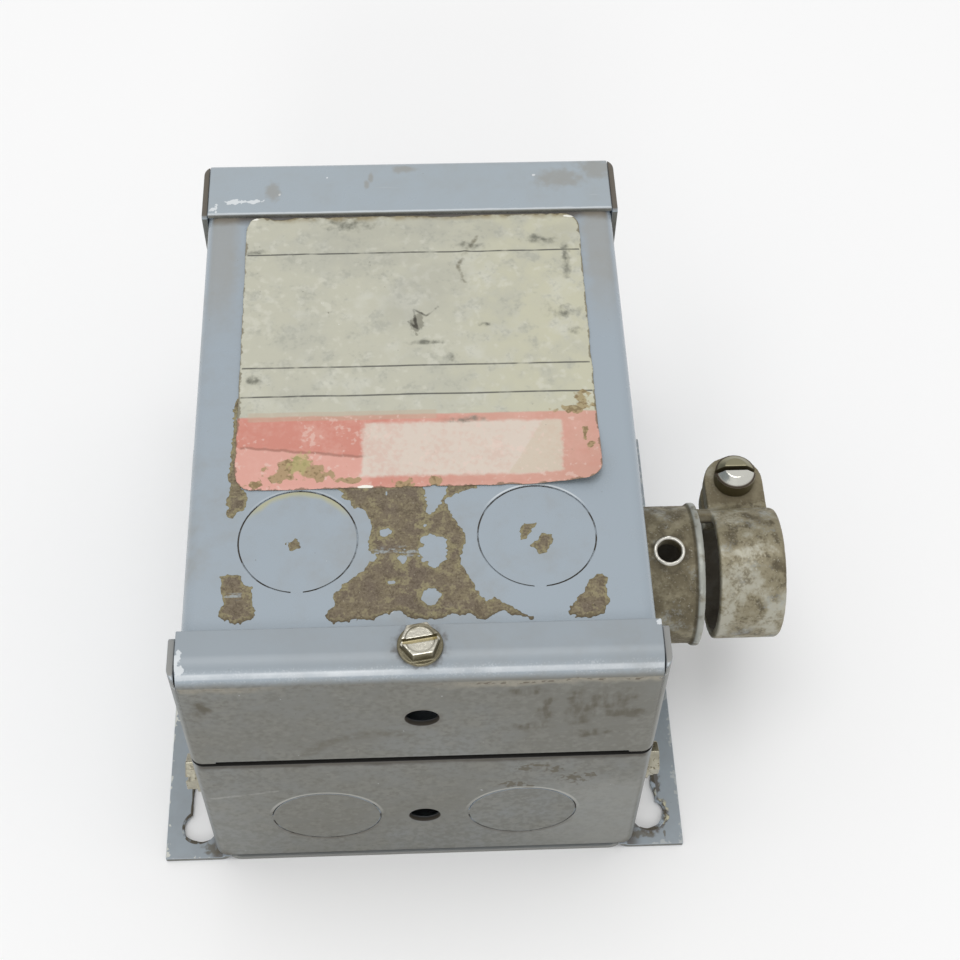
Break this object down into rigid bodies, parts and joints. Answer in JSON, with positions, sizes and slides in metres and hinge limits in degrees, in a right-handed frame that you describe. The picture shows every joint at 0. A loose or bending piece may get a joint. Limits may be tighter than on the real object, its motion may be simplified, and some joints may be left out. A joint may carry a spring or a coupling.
{
  "type": "dry-type transformer",
  "caption": "Small sheet-metal transformer case with mounting flanges, end cap, wiring cover, round knockouts and a conduit squeeze connector in one side wall.",
  "frame": {"origin": "middle of the flat back face, half way along the case and half way across it", "axes": "+Z out of the front face, -Y towards the end with the wiring cover, +X towards the side with the conduit connector"},
  "size_m": [0.13, 0.1239, 0.0861],
  "materials": {
    "case_paint": "aged satin grey paint",
    "potting": "rough",
    "zinc_plate": "dull yellow zinc",
    "connector_metal": "tarnished zinc"
  },
  "bodies": {
    "root": {"wrapper": "case_paint", "back_plate": "case_paint", "top_cap": "case_paint", "wiring_cover": "case_paint", "end_plate": "case_paint", "knockout_front_left": "case_paint", "knockout_front_right": "case_paint", "knockout_end_left": "case_paint", "knockout_end_right": "case_paint", "knockout_side_left": "case_paint", "core_block": "potting", "cover_screw": "zinc_plate", "side_screw_left": "zinc_plate", "side_screw_right": "zinc_plate", "connector": "connector_metal", "locknut": "connector_metal", "clamp_screw": "zinc_plate"}
  },
  "joints": []
}
